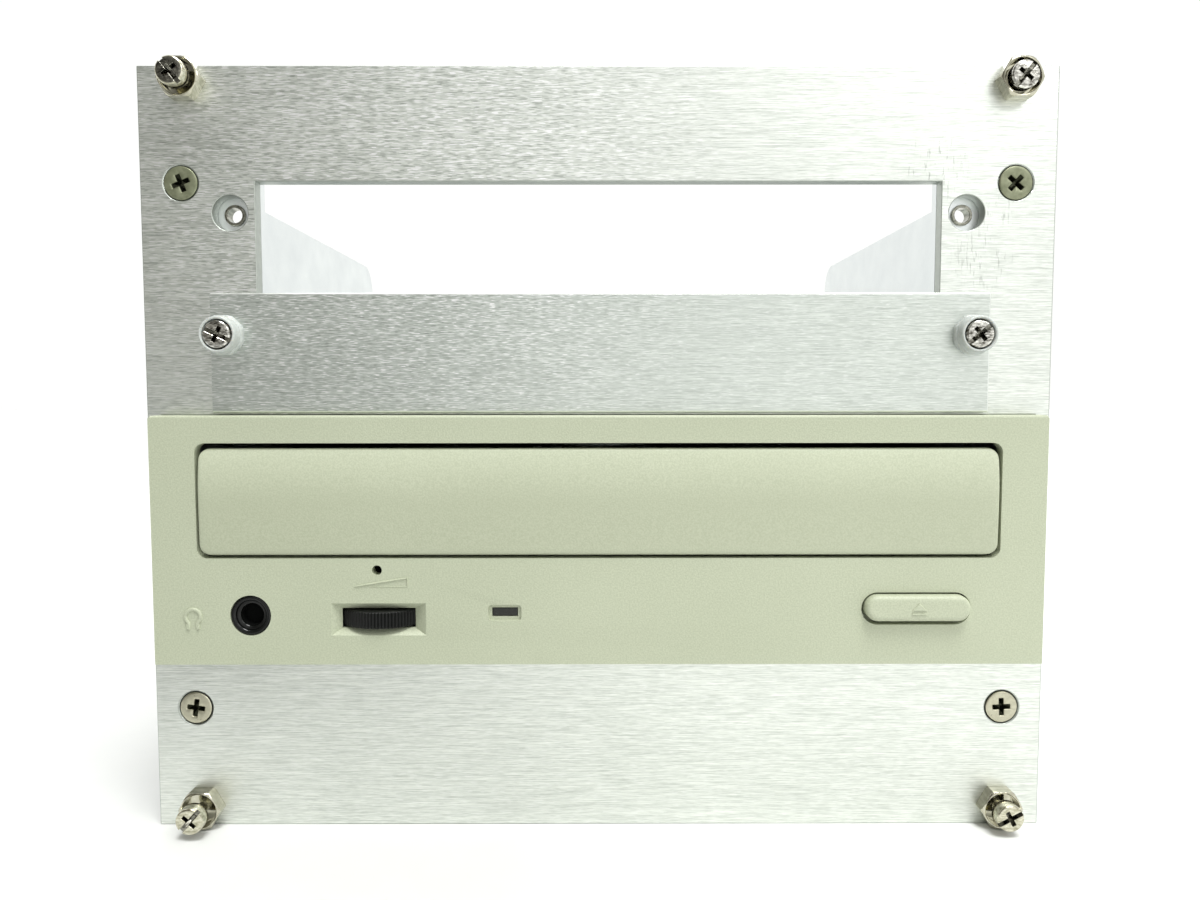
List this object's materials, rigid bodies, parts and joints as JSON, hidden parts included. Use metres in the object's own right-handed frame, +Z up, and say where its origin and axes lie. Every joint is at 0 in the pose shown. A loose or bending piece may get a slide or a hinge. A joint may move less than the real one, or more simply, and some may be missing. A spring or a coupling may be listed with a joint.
{
  "type": "rack-mounted optical disc drive",
  "caption": "Rack module front panel carrying a half-height optical disc drive with a sliding tray, under an empty drive-bay opening with a screwed cover plate.",
  "frame": {"origin": "middle of the front panel's bottom edge, half way through its thickness", "axes": "+X to the right as seen from the front, +Y to the back of the drive, +Z up"},
  "size_m": [0.152, 0.1964, 0.1291],
  "materials": {
    "panel_aluminium": "brushed, grain left to right",
    "nickel": "nickel plate",
    "steel_screw": "zinc plated steel",
    "zinc_sheet": "zinc plated sheet steel",
    "bezel_plastic": "fine moulded texture, warm putty",
    "tray_plastic": "fine moulded texture",
    "sleeve_plastic": "light grey",
    "black_plastic": "black",
    "dark_frame": "glass-filled, dark grey",
    "white_plastic": "natural acetal",
    "rubber": "matt",
    "lens_plastic": "tinted clear plastic",
    "circuit_board": "green solder mask",
    "motor_steel": "drawn steel can",
    "polished_steel": "ground rod",
    "optics": "lens in its black holder"
  },
  "bodies": {
    "module": {"front_panel": "panel_aluminium", "panel_collars": "nickel", "countersunk_screws": "nickel", "cover_plate": "panel_aluminium", "cover_sleeves": "sleeve_plastic", "press_nuts": "nickel", "bay_bracket_left": "zinc_sheet", "bay_bracket_right": "zinc_sheet", "drive_rail_left": "zinc_sheet", "drive_rail_right": "zinc_sheet", "bracket_screws": "steel_screw", "drive_side_screws": "steel_screw", "bezel": "bezel_plastic", "eject_switch": "black_plastic", "volume_pot": "black_plastic", "headphone_jack": "black_plastic", "lamp_lens": "lens_plastic", "activity_lamp": "white_plastic", "front_board": "circuit_board", "case_tray": "zinc_sheet", "case_cover": "zinc_sheet", "case_screws": "steel_screw", "board_screws": "steel_screw", "loader_frame": "dark_frame", "loading_motor": "motor_steel", "loading_belt": "rubber", "gear_clips": "white_plastic", "clamp_bridge": "zinc_sheet", "main_board": "circuit_board", "board_chips": "black_plastic", "data_connector": "black_plastic", "power_connector": "white_plastic", "audio_connector": "white_plastic", "jumper_block": "black_plastic"},
    "tray": {"disc_tray": "tray_plastic", "tray_door": "tray_plastic"},
    "loading_gear": {"drive_gear": "white_plastic"},
    "loading_pulley": {"belt_pulley": "white_plastic"},
    "motor_pulley_body": {"motor_pulley": "white_plastic"},
    "eject_button_body": {"eject_button": "tray_plastic"},
    "volume_wheel_body": {"volume_wheel": "black_plastic"},
    "screw_top_left": {"panel_screw_top_left": "nickel"},
    "screw_top_right": {"panel_screw_top_right": "nickel"},
    "screw_bottom_left": {"panel_screw_bottom_left": "nickel"},
    "screw_bottom_right": {"panel_screw_bottom_right": "nickel"},
    "plate_screw_left": {"cover_screw_left": "nickel"},
    "plate_screw_right": {"cover_screw_right": "nickel"},
    "pickup_lift": {"lift_frame": "dark_frame", "rubber_mounts": "rubber", "pickup_plate": "zinc_sheet", "mount_screws": "steel_screw", "spindle_motor": "motor_steel", "guide_rods": "polished_steel", "sled_motor": "motor_steel"},
    "spindle": {"turntable": "black_plastic"},
    "sled": {"pickup_sled": "dark_frame", "objective_lens": "optics"},
    "sled_screw": {"lead_screw": "white_plastic"},
    "clamp": {"clamp_puck": "white_plastic"}
  },
  "joints": [
    {"name": "tray_slide", "type": "slide", "parent": "module", "child": "tray", "axis": [0, -1, 0], "range_m": [0, 0.14]},
    {"name": "loading_gear_turn", "type": "hinge", "parent": "module", "child": "loading_gear", "pos_m": [-0.042, 0.02, 0.0476], "axis": [0, 0, 1], "range_deg": [0, 731]},
    {"name": "loading_pulley_turn", "type": "hinge", "parent": "module", "child": "loading_pulley", "pos_m": [-0.025, 0.02, 0.0476], "axis": [0, 0, 1], "range_deg": [-1340, 0]},
    {"name": "motor_pulley_turn", "type": "hinge", "parent": "module", "child": "motor_pulley_body", "pos_m": [0.022, 0.02, 0.0452], "axis": [0, 0, 1], "range_deg": [-4781, 0]},
    {"name": "eject_press", "type": "slide", "parent": "module", "child": "eject_button_body", "axis": [0, 1, 0], "range_m": [0, 0.0008], "stiffness_N_per_m": 300},
    {"name": "volume_turn", "type": "hinge", "parent": "module", "child": "volume_wheel_body", "pos_m": [-0.0369, 0.00171, 0.03695], "axis": [0, 0, 1], "range_deg": [-140, 140]},
    {"name": "screw_top_left_push", "type": "slide", "parent": "module", "child": "screw_top_left", "axis": [0, 1, 0], "range_m": [-0.0027, 0.0023]},
    {"name": "screw_top_right_push", "type": "slide", "parent": "module", "child": "screw_top_right", "axis": [0, 1, 0], "range_m": [-0.0046, 0.0004]},
    {"name": "screw_bottom_left_push", "type": "slide", "parent": "module", "child": "screw_bottom_left", "axis": [0, 1, 0], "range_m": [-0.0018, 0.0032]},
    {"name": "screw_bottom_right_push", "type": "slide", "parent": "module", "child": "screw_bottom_right", "axis": [0, 1, 0], "range_m": [-0.0025, 0.0025]},
    {"name": "plate_screw_left_pull", "type": "slide", "parent": "module", "child": "plate_screw_left", "axis": [0, -1, 0], "range_m": [-0.0002, 0.0028]},
    {"name": "plate_screw_right_pull", "type": "slide", "parent": "module", "child": "plate_screw_right", "axis": [0, -1, 0], "range_m": [-0.0002, 0.0028]},
    {"name": "lift_tilt", "type": "hinge", "parent": "module", "child": "pickup_lift", "pos_m": [0, 0.15, 0.0465], "axis": [1, 0, 0], "range_deg": [0, 4]},
    {"name": "spindle_spin", "type": "hinge", "parent": "pickup_lift", "child": "spindle", "pos_m": [0, 0.068, 0.0564], "axis": [0, 0, 1], "continuous": true},
    {"name": "sled_slide", "type": "slide", "parent": "pickup_lift", "child": "sled", "axis": [0, 1, 0], "range_m": [0, 0.032]},
    {"name": "sled_screw_turn", "type": "hinge", "parent": "pickup_lift", "child": "sled_screw", "pos_m": [0.031, 0.094, 0.0466], "axis": [0, 1, 0], "range_deg": [0, 3845]},
    {"name": "clamp_spin", "type": "hinge", "parent": "module", "child": "clamp", "pos_m": [0, 0.068, 0.0627], "axis": [0, 0, 1], "continuous": true}
  ],
  "couplings": [
    {"joint": "loading_gear_turn", "follows": "tray_slide", "rad_per_m": 90.909},
    {"joint": "loading_pulley_turn", "follows": "tray_slide", "rad_per_m": -166.67},
    {"joint": "motor_pulley_turn", "follows": "tray_slide", "rad_per_m": -595.24},
    {"joint": "sled_screw_turn", "follows": "sled_slide", "rad_per_m": 2094.4},
    {"joint": "clamp_spin", "follows": "spindle_spin", "ratio": 1}
  ]
}
